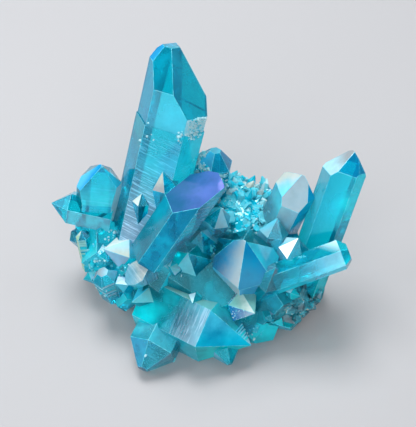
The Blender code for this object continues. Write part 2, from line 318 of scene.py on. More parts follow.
FACE_LOOKS: dict[str, FaceLook] = {
    "tall_point.E0": FaceLook(0.0, 0.1, low=TEAL, cover=0.35),
    "tall_point.E1": FaceLook(0.3, 0.0, low=TEAL, cover=0.3, cover_end=0.6, sweep=slant(0.2, 1)),
    "tall_point.E5": FaceLook(0.3, low=BLUE, high=BLUE, cover=0.6, sweep=slant(-0.5, 1)),
    "tall_point.L0": FaceLook(0.3, 0.2, low=PALE_BLUE, cover=0.35, cover_end=0.15),
    "tall_point.L1": FaceLook(0.5, low=WHITE, cover=0.35, cover_end=0.9),
    "tall_point.L5": FaceLook(0.05, low=DEEP_BLUE, cover=0.4),
    "tall_point_step.L0": FaceLook(
        0.35, 0.45, low=LILAC, high=PALE_BLUE, cover=0.85, cover_end=0.1, lines=1.0),
    "tall_point_step.L1": FaceLook(0.62, 0.5, cover=0.08),
    "tall_point_step.L5": FaceLook(0.3, 0.1, low=TEAL, cover=0.3),
    "violet_point.E5": FaceLook(0.1, low=DUSK, high=PURPLE, cover=0.9, sweep=slant(1, -0.5)),
    "violet_point.L0": FaceLook(0.6, 0.4, low=BLUE, cover=0.2),
    "violet_point.L1": FaceLook(0.25, low=LILAC, cover=0.05, cover_end=0.35, lines=0.8),
    "violet_point.L5": FaceLook(0.5, 0.3, low=TEAL, cover=0.45),
    "rose_point.E0": FaceLook(
        0.5, low=PINK_CREAM, high=DEEP_BLUE, cover=0.9, cover_end=0.4, sweep=slant(-1, 0.35)),
    "rose_point.E1": FaceLook(0.5, 0.3, low=SKY, high=BLUE, cover=0.35, cover_end=0.6, sweep=slant(0.2, 1)),
    "rose_point.E2": FaceLook(0.9, low=SKY, cover=0.25),
    "rose_point.E3": FaceLook(0.12),
    "rose_point.E4": FaceLook(0.02),
    "rose_point.E5": FaceLook(0.35, 0.2),
    "rose_point.L0": FaceLook(1.0, low=PINK_CREAM, high=SKY, cover=0.8, cover_end=0.5, sweep=slant(-1, 0)),
    "rose_point.L1": FaceLook(0.5, low=SKY, cover=0.4),
    "right_point.L0": FaceLook(-0.15, 0.7, low=TEAL, cover=0.4, cover_end=0.0, sweep=slant(1, -0.3)),
    "right_point.L1": FaceLook(0.9, 0.6, sweep=slant(0.4, 1)),
    "right_point.L5": FaceLook(0.3, 0.1, low=GREY, cover=0.05, cover_end=0.6),
    "right_point.E0": FaceLook(0.1, low=DEEP_BLUE, cover=0.45),
    "right_point.E1": FaceLook(0.2, low=BLUE, cover=0.2),
    "right_point.E5": FaceLook(0.4, low=HAZE, high=PEARL, cover=0.8, sweep=slant(-1, 0)),
    "cream_point.E0": FaceLook(
        0.4, low=PALE_BLUE, high=SOFT_CREAM, cover=0.75, cover_end=0.9, sweep=slant(-0.2, 1)),
    "cream_point.E1": FaceLook(0.4, low=HAZE, high=HAZE, cover=0.9, cover_end=0.8),
    "cream_point.E2": FaceLook(0.3, low=BLUE, cover=0.4),
    "cream_point.E5": FaceLook(0.5, low=SOFT_CREAM, cover=0.9),
    "cream_point.L0": FaceLook(0.75, 0.6, low=PEARL, cover=0.2),
    "cream_point.L1": FaceLook(0.6, low=PINK_CREAM, cover=0.3, cover_end=0.6),
    "cream_point.L2": FaceLook(0.6, low=BLUE, cover=0.3),
    "left_point.E5": FaceLook(0.5, low=SKY, high=BLUE, cover=0.85, sweep=slant(1, -0.75)),
    "left_point.E1": FaceLook(1.0, low=SKY, cover=0.25),
    "left_point.E0": FaceLook(1.0, 0.8, low=PALE_BLUE, high=WHITE, cover=0.2, cover_end=0.3, lines=0.5),
    "left_point.F0": FaceLook(1.0, 0.75, low=PALE_BLUE, high=SKY, cover=0.3, cover_end=0.2, lines=0.5),
    "left_point.L0": FaceLook(1.0, 0.85, low=PALE_BLUE, high=SKY, cover=0.35, cover_end=0.2, lines=0.5),
    # left_point.L1's white cover is painted light on a face that the lamps leave in shade.
    "left_point.L1": FaceLook(1.0, low=WHITE, cover=0.75),
    "left_point.L5": FaceLook(0.45),
    "far_left_point.E0": FaceLook(0.6),
    "far_left_point.E1": FaceLook(0.7, low=PALE_BLUE, cover=0.2),
    "far_left_point.L0": FaceLook(0.7, low=PEARL, cover=0.25),
    "back_dome_point.E1": FaceLook(0.8, low=SKY, high=SKY, cover=0.4),
    "back_dome_point.E2": FaceLook(0.7, 0.5, low=BLUE, cover=0.2),
    "back_dome_point.E3": FaceLook(0.4, low=BLUE, cover=0.3),
    "back_dome_point.B0": FaceLook(0.6, low=PALE_BLUE, cover=0.4),
    "low_right_point.L1": FaceLook(0.4, 0.5, low=WHITE, cover=-2.2, cover_end=0.8, sweep=slant(0.3, 1)),
    "low_right_point.L2": FaceLook(
        0.35, 0.7, low=PALE_BLUE, high=PEARL, cover=-0.3, cover_end=0.55, sweep=slant(1, 0.2)),
    "low_right_point.L3": FaceLook(0.8, 1.0, low=SKY, cover=0.2, sweep=slant(1, 0)),
    "low_right_point.E1": FaceLook(1.0),
    "low_right_point.E2": FaceLook(0.8),
    "front_point.L2": FaceLook(
        0.65, 0.5, low=SKY, high=LILAC, cover=-0.5, cover_end=0.55, sweep=slant(0.8, -0.6), lines=0.7),
    "front_point.L1": FaceLook(0.4, low=GREEN_CREAM, cover=0.5),
    "front_point.L3": FaceLook(0.9, low=SKY, cover=0.15),
    "front_point.E1": FaceLook(1.0, low=SKY, high=LILAC, cover=0.6, sweep=slant(1, 0.3), lines=0.4),
    "front_point.E2": FaceLook(0.8, low=BLUE, high=SKY, cover=0.4),
    "front_point.E3": FaceLook(0.9),
    "corner_point.E1": FaceLook(0.6, 0.5, low=PALE_BLUE, cover=0.15, lines=0.6),
    "corner_point.E2": FaceLook(0.5, low=SKY, cover=0.25),
    "corner_point.L1": FaceLook(0.7, low=PALE_BLUE, cover=0.2),
    "corner_point.B0": FaceLook(0.1, low=DEEP_BLUE, cover=0.3),
    "white_point.E1": FaceLook(0.5, low=SOFT_CREAM, high=PEARL, cover=0.9),
    "white_point.E0": FaceLook(0.3, low=MAUVE, cover=0.7),
    "white_point.E2": FaceLook(0.3, low=CREAM, cover=0.7),
    "grey_point.E1": FaceLook(0.4, low=GREY, high=SOFT_CREAM, cover=0.85, sweep=slant(1, 0.4), lines=0.4),
    "grey_point.L0": FaceLook(0.4, low=GREY, cover=0.5, lines=0.8),
    "lilac_point.E1": FaceLook(0.5, low=WHITE, high=LILAC, cover=0.9),
    "lilac_point.E2": FaceLook(0.5, low=LILAC, cover=0.8),
    "striped_point.B0": FaceLook(0.4, low=HAZE, high=PEARL, cover=0.6, sweep=slant(1, 0)),
    "striped_point.L0": FaceLook(0.3, low=HAZE, cover=0.6, lines=1.0),
    "striped_point.L5": FaceLook(0.3, low=HAZE, cover=0.5, lines=1.0),
    "bright_small_point.E0": FaceLook(0.5, low=HAZE, high=SOFT_CREAM, cover=0.9),
    "bright_small_point.E1": FaceLook(0.02),
    "bright_small_point.L1": FaceLook(0.05),
    "round_small_point.E1": FaceLook(0.5, low=CREAM, cover=0.8),
    "round_small_point.L2": FaceLook(0.1),
    "olive_point.E1": FaceLook(0.5, low=GREEN_CREAM, cover=0.35),
    "olive_point.E2": FaceLook(1.0, low=SKY, cover=0.35),
    # flash_point.E2 is all FLASH white, a painted reflection of a bright light.
    "flash_point.E2": FaceLook(0.5, low=FLASH, cover=1.0),
    "flash_point.E1": FaceLook(0.5, low=PALE_BLUE, high=WHITE, cover=0.5),
    "right_valley_point.E1": FaceLook(0.6, low=PEARL, high=PALE_BLUE, cover=0.5),
    "front_ledge_point.E1": FaceLook(0.4, low=GREEN_CREAM, cover=0.6),
    "front_ledge_point.E2": FaceLook(0.4, low=GREEN_CREAM, high=CREAM, cover=0.6, sweep=slant(1, 0)),
    "front_ledge_point.E3": FaceLook(0.4, low=VIOLET, high=LILAC, cover=0.6, sweep=slant(1, 0)),
    "green_point.E0": FaceLook(0.5, low=LEAF, high=CREAM, cover=0.85),
    "green_point.L0": FaceLook(0.5, low=LEAF, cover=0.8, lines=0.6),
    "green_point.L1": FaceLook(0.5, low=LEAF, high=GREEN_CREAM, cover=0.9, lines=0.6),
    "left_lobe.L0": FaceLook(0.1),
    "valley_front_point.E4": FaceLook(0.9, 0.6, low=LILAC, cover=0.25),
    "valley_back_point.E3": FaceLook(0.4, low=PEARL, cover=0.5),
}

GROWTH_STEPS: dict[str, GrowthSteps] = {
    "tall_point_step.L0": GrowthSteps(37, 56, 24, 0.07),
    "violet_point.L1": GrowthSteps(12, 20, 9, 0.06),
    "corner_point.E1": GrowthSteps(1, 8, 9, -0.04),
    "striped_point.L0": GrowthSteps(3, 12, 9, 0.12),
    "striped_point.L5": GrowthSteps(3, 12, 9, 0.12),
    "grey_point.E1": GrowthSteps(1, 7, 9, 0.05),
    "green_point.L1": GrowthSteps(5, 14, 5, 0.09),
    "front_point.E1": GrowthSteps(3, 7, 5, 0.12),
}

# Faces whose growth lines run aslant, by the degrees that they are turned from straight across.
LINE_SLOPES = {"tall_point_step.L0": -11}

# Edges between two faces that read as one, which stay sharp and unmarked.
SOFT_EDGES = ({"left_point.E0", "left_point.F0"}, {"left_point.F0", "left_point.L0"})

FACETS: dict[str, tuple[Facet, ...]] = {
    "tall_point": (Facet(0, 90, 1.3),),
    "left_point": (Facet(177, 18, -1.5),),
}


class Wire:
    """A shader value that takes arithmetic, so that a pattern reads as an expression."""

    def __init__(self, sheet: "NodeSheet", socket: bpy.types.NodeSocket) -> None:
        """Wrap one output socket of a sheet."""
        self.sheet = sheet
        self.socket = socket

    def _math(self, operation: str, first: object, second: object = None, clamp: bool = False) -> "Wire":
        """Add one Math node.

        Args:
            operation: Blender's name of the operation.
            first: First wire or number.
            second: Second wire or number, if the operation takes one.
            clamp: Whether the result is kept between 0 and 1.

        Returns:
            The result.
        """
        settings = {"operation": operation, "use_clamp": clamp}
        values = {0: first} if second is None else {0: first, 1: second}
        return self.sheet.add("ShaderNodeMath", settings, values)

    def __add__(self, other: object) -> "Wire":
        """Sum."""
        return self._math("ADD", self, other)

    __radd__ = __add__

    def __sub__(self, other: object) -> "Wire":
        """Difference."""
        return self._math("SUBTRACT", self, other)

    def __rsub__(self, other: object) -> "Wire":
        """Difference from a number."""
        return self._math("SUBTRACT", other, self)

    def __mul__(self, other: object) -> "Wire":
        """Product."""
        return self._math("MULTIPLY", self, other)

    __rmul__ = __mul__

    def above(self, low: float, high: float) -> "Wire":
        """Smooth step from 0 at low to 1 at high."""
        values = {"Value": self, "From Min": low, "From Max": high}
        return self.sheet.add("ShaderNodeMapRange", {"interpolation_type": "SMOOTHSTEP"}, values)

    def held(self) -> "Wire":
        """The value kept between 0 and 1."""
        return self._math("ADD", self, 0.0, clamp=True)


class NodeSheet:
    """The node tree of one material."""

    def __init__(self, name: str) -> None:
        """Start an empty material.

        Args:
            name: Name of the material.
        """
        self.material = bpy.data.materials.new(name)
        self.material.use_nodes = True
        self.tree = self.material.node_tree
        self.tree.nodes.clear()
        self.output = self.tree.nodes.new("ShaderNodeOutputMaterial")

    def add(self, kind: str, settings: Optional[dict] = None, values: Optional[dict] = None,
            result: object = None) -> Wire:
        """Add a node of any kind.

        Args:
            kind: Blender's name of the node type.
            settings: Properties that are set first.
            values: Numbers, colours or wires for the node's sockets, by name or number.
            result: Name or number of the output that is wanted, or None for the first one in use.

        Returns:
            The wanted output.
        """
        node = self.tree.nodes.new(kind)
        for key, value in (settings or {}).items():
            setattr(node, key, value)
        for key, value in (values or {}).items():
            socket = node.inputs[key]
            if isinstance(value, Wire):
                self.tree.links.new(value.socket, socket)
            else:
                socket.default_value = value
        if result is None:
            result = next(index for index, output in enumerate(node.outputs) if output.enabled)
        return Wire(self, node.outputs[result])

    def place(self) -> Wire:
        """Object coordinates, in metres."""
        return self.add("ShaderNodeTexCoord", result="Object")

    def note(self, name: str, result: str = "Fac") -> Wire:
        """Read one attribute of the mesh."""
        return self.add("ShaderNodeAttribute", {"attribute_name": name}, result=result)

    def noise(self, vector: Wire, size_mm: float, detail: float = 2, roughness: float = 0.5) -> Wire:
        """Soft noise from 0 to 1 with features of a size."""
        values = {"Vector": vector, "Scale": 1 / (size_mm * MM), "Detail": detail, "Roughness": roughness}
        return self.add("ShaderNodeTexNoise", None, values, "Fac")

    def blend(self, amount: object, first: object, second: object) -> Wire:
        """Mix two colours."""
        colours = [(*c, 1) if isinstance(c, tuple) and len(c) == 3 else c for c in (first, second)]
        values = {0: amount, 6: colours[0], 7: colours[1]}
        return self.add("ShaderNodeMix", {"data_type": "RGBA"}, values, 2)

    def principled(self, values: dict) -> Wire:
        """One Principled surface."""
        return self.add("ShaderNodeBsdfPrincipled", None, values)

    def mix_surfaces(self, amount: object, first: Wire, second: Wire) -> Wire:
        """Mix two surfaces."""
        return self.add("ShaderNodeMixShader", None, {0: amount, 1: first, 2: second})

    def bump(self, height: Wire, strength: float, distance_mm: float) -> Wire:
        """Turn a height into a normal."""
        values = {"Height": height, "Strength": strength, "Distance": distance_mm * MM}
        return self.add("ShaderNodeBump", None, values)

    def finish(self, surface: Wire, volume: Optional[Wire] = None) -> bpy.types.Material:
        """Connect the output.

        Args:
            surface: The surface.
            volume: What the light passes through inside, or None for a piece that has no depth.

        Returns:
            The finished material.
        """
        self.tree.links.new(surface.socket, self.output.inputs["Surface"])
        if volume:
            self.tree.links.new(volume.socket, self.output.inputs["Volume"])
        return self.material


@dataclass(frozen=True)
class ClearAuraFinish:
    """Clear blue-green quartz with cloudy veils, growth lines and coated faces."""

    deep: Colour = (0.0, 0.26, 0.38)
    middle: Colour = (0.0, 0.54, 0.74)
    bright: Colour = (0.0, 0.88, 1.0)
    glass_tint: Colour = (0.05, 0.90, 1.0)
    gloss_tint: Colour = (0.25, 0.85, 1.0)
    absorbed: Colour = (0.0, 0.965, 0.98)
    absorption_density: float = 350.0
    cloudiness: float = 0.06
    least_cloud: float = 0.11
    glow: float = 0.25
    gloss: float = 0.3
    ior: float = 1.54
    film_nm: float = 360.0
    film_ior: float = 1.66
    film_gloss: Colour = (0.6, 0.9, 1.0)
    light_reach_m: float = 0.005
    light_reach: Colour = (0.1, 0.8, 1.0)
    veil_mm: float = 15
    wisp_mm: float = 3.5
    grit_mm: float = 0.5

    def depth_colour(self, sheet: NodeSheet) -> Wire:
        """The absorption that deepens the colour where the quartz is thick."""
        values = {"Color": (*self.absorbed, 1), "Density": self.absorption_density}
        return sheet.add("ShaderNodeVolumeAbsorption", None, values)

    @staticmethod
    def _stretched(sheet: NodeSheet, growth: Wire, stretch: Place, scale: float) -> Wire:
        """Noise drawn out along or across the growth of a face.

        Args:
            sheet: The material's nodes.
            growth: Place along and across the growth, in millimetres.
            stretch: Factors on that place, where a small one draws the noise out.
            scale: Scale of the noise.

        Returns:
            The noise, from 0 to 1.
        """
        vector = sheet.add("ShaderNodeVectorMath", {"operation": "MULTIPLY"}, {0: growth, 1: stretch})
        values = {"Vector": vector, "Scale": scale, "Detail": 3, "Roughness": 0.7}
        return sheet.add("ShaderNodeTexNoise", None, values, "Fac")

    def make(self) -> bpy.types.Material:
        """Build the material.

        Returns:
            The finished material.
        """
        sheet = NodeSheet("clear_aura")
        place = sheet.place()
        tone = sheet.note("tone")
        cover = sheet.note("film_and_sheen_cover")
        sweep = sheet.note("film_sweep")
        lines = sheet.note("growth_lines")
        growth = sheet.add("ShaderNodeUVMap", {"uv_map": "growth"})

        veils = sheet.noise(place, self.veil_mm, 2, 0.5)
        wisps = sheet.noise(place, self.wisp_mm, 5, 0.6)
        streaks = self._stretched(sheet, growth, (0.12, 1.0, 1.0), 0.5)
        # Tone holds the quartz's depth and also painted light and shade, and sets how bright the body's colour
        # is.
        depth = (tone + (veils - 0.5) * 1.0 + (wisps - 0.5) * 0.3 + (streaks - 0.5) * 0.4).held()
        body = sheet.blend(depth.above(0.0, 0.5), self.deep, self.middle)
        body = sheet.blend(depth.above(0.4, 1.0), body, self.bright)

        striae = self._stretched(sheet, growth, (1.0, 0.06, 1.0), 1.6)
        fine = sheet.noise(place, self.grit_mm, 3, 0.6)
        height = striae * (lines * 1.0 + 0.06) + fine * 0.03 + wisps * 0.1
        normal = sheet.bump(height, 0.4, 0.12)

        rough = (fine * 0.06 + 0.02 + lines * 0.06).held()
        shared = {"IOR": self.ior, "Specular IOR Level": self.gloss, "Normal": normal}
        glossy = {**shared, "Roughness": rough, "Specular Tint": (*self.gloss_tint, 1)}
        glass = sheet.principled({**glossy, "Base Color": (*self.glass_tint, 1), "Transmission Weight": 1.0})
        cloud = sheet.principled({
            **glossy, "Base Color": body, "Subsurface Weight": self.glow,
            "Subsurface Radius": self.light_reach, "Subsurface Scale": self.light_reach_m})
        cloudiness = (self.cloudiness + (tone - 0.4) * 0.4 + (wisps - 0.5) * 0.3 + (veils - 0.5) * 1.2).held()
        cloudiness = cloudiness * (1.0 - self.least_cloud) + self.least_cloud
        quartz = sheet.mix_surfaces(cloudiness, glass, cloud)

        # The film's violet and blue tints are the coating; its white, cream and pearl tints are partly the
        # coating and partly painted reflections of the sky and of bright lights.
        drift = (sweep + (veils - 0.5) * 0.5 + (wisps - 0.5) * 0.5 + (striae - 0.5) * lines * 0.8).held()
        tint = sheet.blend(
            drift.above(0.15, 0.85), sheet.note("film_and_sheen_low", "Color"), sheet.note("film_and_sheen_high", "Color"))
        film = sheet.principled({
            **shared, "Base Color": tint, "Roughness": rough + 0.08, "Specular Tint": (*self.film_gloss, 1),
            "Thin Film Thickness": self.film_nm, "Thin Film IOR": self.film_ior})
        stripes = striae.above(0.5, 0.64) * lines * 1.2
        film_and_sheen_share = (cover.held() * (1.0 + (wisps - 0.5) * 0.5 - lines * 0.4 + stripes)).held()
        surface = sheet.mix_surfaces(film_and_sheen_share, quartz, film)
        return sheet.finish(surface, self.depth_colour(sheet))


@dataclass(frozen=True)
class WearAndGlintEdgeFinish:
    """The pale line along a crystal edge: partly wear and partly a painted highlight of the bright edge lines.
    """

    pale: Colour = (0.0, 0.46, 0.62)
    bright: Colour = (0.25, 0.80, 0.92)
    roughness: float = 0.22
    clearness: float = 0.25
    wear_mm: float = 1.4

    def make(self, body: "ClearAuraFinish") -> bpy.types.Material:
        """Build the material.

        Args:
            body: The clear finish whose depth it shares.

        Returns:
            The finished material.
        """
        sheet = NodeSheet("edge_wear_and_glint")
        place = sheet.place()
        wear = sheet.noise(place, self.wear_mm, 3, 0.6)
        # The pale-to-bright colour is partly wear and partly painted highlight.
        colour = sheet.blend(wear.above(0.35, 0.7), self.pale, self.bright)
        surface = sheet.principled({
            "Base Color": colour, "Roughness": self.roughness, "IOR": body.ior,
            "Transmission Weight": self.clearness, "Normal": sheet.bump(wear, 0.3, 0.1)})
        return sheet.finish(surface, body.depth_colour(sheet))


@dataclass(frozen=True)
class BareStoneFinish:
    """Broken quartz at the lower right, half coated, with dark and golden spots.

    The faces of the body share its depth, and loose chips have none.
    """

    dark: Colour = (0.01, 0.09, 0.13)
    teal: Colour = (0.03, 0.36, 0.46)
    gold: Colour = (0.75, 0.60, 0.36)
    ior: float = 1.54
    clearness: float = 0.2
    patch_mm: float = 3
    grit_mm: float = 0.6

    def make(self, body: Optional["ClearAuraFinish"]) -> bpy.types.Material:
        """Build the material.

        Args:
            body: The clear finish whose depth it shares, or None for chips that have none.

        Returns:
            The finished material.
        """
        sheet = NodeSheet("bare_stone")
        place = sheet.place()
        patches = sheet.noise(place, self.patch_mm, 4, 0.65)
        grit = sheet.noise(place, self.grit_mm, 4, 0.7)
        colour = sheet.blend(patches.above(0.35, 0.65), self.dark, self.teal)
        colour = sheet.blend((grit * patches * 2.2).above(0.7, 0.85) * 0.8, colour, self.gold)
        surface = sheet.principled({
            "Base Color": colour, "Roughness": (grit * 0.3 + 0.06).held(), "IOR": self.ior,
            "Transmission Weight": self.clearness, "Normal": sheet.bump(grit + patches, 0.35, 0.3)})
        return sheet.finish(surface, body.depth_colour(sheet) if body else None)


@dataclass(frozen=True)
class CrustFinish:
    """Fine sparkling grains, from clear cyan to white; the white grains are partly pale crust and partly
    painted glints.
    """

    cyan: Colour = (0.0, 0.66, 0.86)
    pale: Colour = (0.22, 0.84, 0.96)
    # White is partly the pale crust and partly painted glints.
    white: Colour = (0.62, 0.94, 1.0)
    cream: Colour = (0.72, 0.80, 0.72)
    gloss_tint: Colour = (0.6, 0.95, 1.0)
    roughness: float = 0.06
    clearness: float = 0.5
    ior: float = 1.54

    def make(self) -> bpy.types.Material:
        """Build the material.

        Returns:
            The finished material.
        """
        sheet = NodeSheet("sparkling_crust")
        grain = sheet.note("grain")
        colour = sheet.blend(grain.above(0.1, 0.6), self.cyan, self.pale)
        colour = sheet.blend(grain.above(0.6, 0.85), colour, self.white)
        colour = sheet.blend(grain.above(1.05, 1.5), colour, self.cream)
        surface = sheet.principled({
            "Base Color": colour, "Roughness": self.roughness, "IOR": self.ior,
            "Transmission Weight": self.clearness, "Specular Tint": (*self.gloss_tint, 1)})
        return sheet.finish(surface)


@dataclass(frozen=True)
class FloorFinish:
    """Plain pale studio floor."""

    colour: Colour = (0.30, 0.30, 0.31)
    roughness: float = 0.7

    def make(self) -> bpy.types.Material:
        """Build the material, which is dull and even all over."""
        sheet = NodeSheet("studio_floor")
        return sheet.finish(sheet.principled({"Base Color": (*self.colour, 1), "Roughness": self.roughness}))


Owner = tuple[str, FaceKind, int]


def face_key(owner: Owner) -> str:
    """The name of a face in the tables, such as tall_point.L0."""
    return f"{owner[0]}.{owner[1].value}{owner[2]}"


def deselect_all() -> None:
    """Leave nothing selected."""
    bpy.ops.object.select_all(action="DESELECT")


def make_active(piece: bpy.types.Object) -> None:
    """Select one object alone and make it active."""
    deselect_all()
    piece.select_set(True)
    bpy.context.view_layer.objects.active = piece


@dataclass
class CrystalBody:
    """The whole cluster as one clear solid, with worn edges and a finish on every face.

    An edge is worn where it stands above the foot and is longer than shortest_edge times its wear. A share of
    the core's small faces wears a tint, and a larger share of those that look to the sky side is pale, as a
    painted reflection of the sky.
    Core_growth is the way that the core's lines run.
    """

    node: bpy.types.Object
    merge_mm: float = 0.004
    flat_degrees: float = 0.4
    plane_slack_mm: float = 0.09
    same_direction: float = 0.9998
    edge_degrees: float = 14
    wide_edge_mm: float = 0.06
    fine_edge_mm: float = 0.03
    shortest_edge: float = 6
    large_face_mm2: float = 20
    least_face_mm2: float = 2
    foot_mm: float = 0.4
    sky_side: Place = (-0.45, 0.1, 0.88)
    skyward: float = 0.9
    sky_reflection_share: float = 0.4
    tinted_share: float = 0.12
    small_face_mm2: float = 12
    core_growth: Place = (0.2, -0.1, 0.97)
    rubble_centre: Place = (29, -10, 9)
    rubble_radii: Place = (11, 12, 9)
    seed: int = 7
    piece: Optional[bpy.types.Object] = None
    _planes: list = field(default_factory=list)

    def build(self, materials: Sequence[bpy.types.Material]) -> bpy.types.Object:
        """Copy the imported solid, clean it, wear its edges and dress its faces.

        Args:
            materials: One material for every Finish, in order.

        Returns:
            The finished piece.
        """
        self._planes = [(name, row) for name, point in POINTS.items() for row in point.planes()]
        for name, facets in FACETS.items():
            for number, facet in enumerate(facets):
                self._planes.append((name, (FaceKind.FACET, number, *POINTS[name].cut(facet))))
        self.piece = self.node.copy()
        self.piece.data = self.node.data.copy()
        self.piece.name = self.piece.data.name = "crystal_body"
        self.piece.parent = None
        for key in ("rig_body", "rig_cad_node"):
            if key in self.piece:
                del self.piece[key]
        bpy.context.scene.collection.objects.link(self.piece)
        self.piece.data.materials.clear()
        for material in materials:
            self.piece.data.materials.append(material)
        self._clean()
        self._cut_facets()
        self._wear_edges()
        self._raise_steps()
        self._dress_faces()
        return self.piece

    def _clean(self) -> None:
        """Merge the loose triangles and join those that lie flat."""
        make_active(self.piece)
        bpy.ops.object.mode_set(mode="EDIT")
        bpy.ops.mesh.select_all(action="SELECT")
        bpy.ops.mesh.remove_doubles(threshold=self.merge_mm * MM)
        bpy.ops.mesh.dissolve_limited(angle_limit=math.radians(self.flat_degrees))
        bpy.ops.object.mode_set(mode="OBJECT")
        for polygon in self.piece.data.polygons:
            polygon.material_index = Finish.CLEAR.value
            polygon.use_smooth = False

    def owner(self, centre: Vector, normal: Vector) -> Optional[Owner]:
        """Find the point and face that a polygon belongs to.

        Args:
            centre: A place on the polygon, in metres.
            normal: The polygon's normal.

        Returns:
            Name, face kind and face number, or None on the core.
        """
        for name, (kind, number, outward, distance) in self._planes:
            if self._lies_on(centre, normal, outward, distance):
                return name, kind, number
        return None

    def _lies_on(self, spot: Vector, normal: Vector, outward: Vector, distance: float) -> bool:
        """Whether a spot of a surface, in metres, lies on a plane in millimetres and faces as it does."""
        same = normal.dot(outward) > self.same_direction
        return same and abs((spot / MM).dot(outward) - distance) < self.plane_slack_mm

    def _rows_of(self, name: str, mark: str) -> list[tuple]:
        """The planes of one point, or the plane of one face of it.

        Args:
            name: The point.
            mark: Kind and number of the face, such as L0, or nothing for all faces.

        Returns:
            Rows of face kind, face number, normal and distance.
        """
        rows = [row for owner, row in self._planes if owner == name]
        return [row for row in rows if mark in ("", f"{row[0].value}{row[1]}")]

    def _select_owned(self, name: str, mark: str = "") -> bmesh.types.BMesh:
        """Select the faces of one point in edit mode, or one face of it.

        Args:
            name: The point.
            mark: Kind and number of the face, such as L0, or nothing for all faces.

        Returns:
            The mesh in edit mode.
        """
        bpy.ops.mesh.select_mode(type="FACE")
        bpy.ops.mesh.select_all(action="DESELECT")
        shape = bmesh.from_edit_mesh(self.piece.data)
        rows = self._rows_of(name, mark)
        for face in shape.faces:
            corner = face.verts[0].co
            if any(self._lies_on(corner, face.normal, outward, distance) for _, _, outward, distance in rows):
                face.select_set(True)
        bmesh.update_edit_mesh(self.piece.data)
        return shape

    def _cut_facets(self) -> None:
        """Cut the extra facets of the points that have them."""
        make_active(self.piece)
        bpy.ops.object.mode_set(mode="EDIT")
        for name, facets in FACETS.items():
            for facet in facets:
                normal, distance = POINTS[name].cut(facet)
                self._select_owned(name)
                bpy.ops.mesh.bisect(
                    plane_co=normal * distance * MM, plane_no=normal, use_fill=True, clear_outer=True,
                    threshold=CUT_SLACK_M)
        bpy.ops.object.mode_set(mode="OBJECT")

    def _raise_steps(self) -> None:
        """Raise the growth bands of the faces that have them.

        A face is cut across at uneven depths below the tip, and every second strip is extruded.
        """
        make_active(self.piece)
        bpy.ops.object.mode_set(mode="EDIT")
        for key, steps in GROWTH_STEPS.items():
            name, mark = key.split(".")
            _, _, outward, distance = self._rows_of(name, mark)[0]
            top = POINTS[name].top()
            top = top + outward * (distance - top.dot(outward))
            axis = self._turned(POINTS[name].axis(), outward, key)
            rng = random.Random(self.seed + len(key))
            cuts = 2 * steps.bands + 1
            pitch = (steps.end - steps.start) / cuts
            depths = [steps.start + pitch * (number + rng.uniform(0, 0.7)) for number in range(cuts)]
            for depth in depths:
                self._select_owned(name, mark)
                bpy.ops.mesh.bisect(plane_co=(top - axis * depth) * MM, plane_no=axis, threshold=CUT_SLACK_M)
            normal = None
            for face in self._select_owned(name, mark).faces:
                if face.select:
                    normal = face.normal.copy()
                    depth = (top - face.calc_center_median() / MM).dot(axis)
                    below = sum(1 for value in depths if value < depth)
                    face.select_set(below % 2 == 1)
            bmesh.update_edit_mesh(self.piece.data)
            if normal is not None:
                bpy.ops.mesh.extrude_region_move(
                    TRANSFORM_OT_translate={"value": normal * steps.rise * MM})
        shape = bmesh.from_edit_mesh(self.piece.data)
        shape.verts.index_update()
        shape.faces.sort(key=self._rank)
        bmesh.update_edit_mesh(self.piece.data)
        bpy.ops.object.mode_set(mode="OBJECT")

    @staticmethod
    def _rank(face: bmesh.types.BMFace) -> int:
        """Rank a face by its first corners in the mesh.

        Extruding leaves the faces in a new order at each run, and sorted by this they are in the same one
        again.

        Args:
            face: The face.

        Returns:
            A number that is different for every face.
        """
        first, second, third = sorted(vertex.index for vertex in face.verts)[:3]
        return (first << 40) + (second << 20) + third

    @staticmethod
    def _turned(axis: Vector, normal: Vector, key: str) -> Vector:
        """A growth direction turned about the face normal as the face's lines are."""
        return Matrix.Rotation(math.radians(LINE_SLOPES.get(key, 0)), 3, normal) @ axis

    def _reads_as_one(self, edge: bmesh.types.BMEdge) -> bool:
        """Whether an edge lies between two faces that read as one."""
        owners = [self.owner(face.calc_center_median(), face.normal) for face in edge.link_faces]
        return {face_key(owner) for owner in owners if owner} in SOFT_EDGES

    def _wear_edges(self) -> None:
        """Bevel the outward edges of the points, wide on large faces and fine on small ones."""
        self._bevel_edges(self.wide_edge_mm, self.large_face_mm2, math.inf)
        self._bevel_edges(self.fine_edge_mm, self.least_face_mm2, self.large_face_mm2)
        log.info("edges worn, %d faces", len(self.piece.data.polygons))

    def _bevel_edges(self, width_mm: float, low_mm2: float, high_mm2: float) -> None:
        """Bevel the convex edges whose smaller face has an area in a range.

        Args:
            width_mm: Width of the wear on each side of the edge.
            low_mm2: Least area of the smaller face.
            high_mm2: Area that it stays under.
        """
        make_active(self.piece)
        bpy.ops.object.mode_set(mode="EDIT")
        bpy.ops.mesh.select_mode(type="EDGE")
        bpy.ops.mesh.select_all(action="DESELECT")
        shape = bmesh.from_edit_mesh(self.piece.data)
        limit = math.radians(self.edge_degrees)
        for edge in shape.edges:
            if len(edge.link_faces) != 2 or not edge.is_convex:
                continue
            if any(face.material_index != Finish.CLEAR.value for face in edge.link_faces):
                continue
            if edge.calc_face_angle(0) < limit or edge.calc_length() < self.shortest_edge * width_mm * MM:
                continue
            if all(vertex.co.z < self.foot_mm * MM for vertex in edge.verts):
                continue
            smaller = min(face.calc_area() for face in edge.link_faces) / MM ** 2
            edge.select = low_mm2 <= smaller < high_mm2 and not self._reads_as_one(edge)
        bmesh.update_edit_mesh(self.piece.data)
        bpy.ops.mesh.bevel(
            offset=width_mm * MM, segments=1, affect="EDGES", clamp_overlap=False,
            material=Finish.EDGE_WEAR_AND_GLINT.value)
        bpy.ops.object.mode_set(mode="OBJECT")

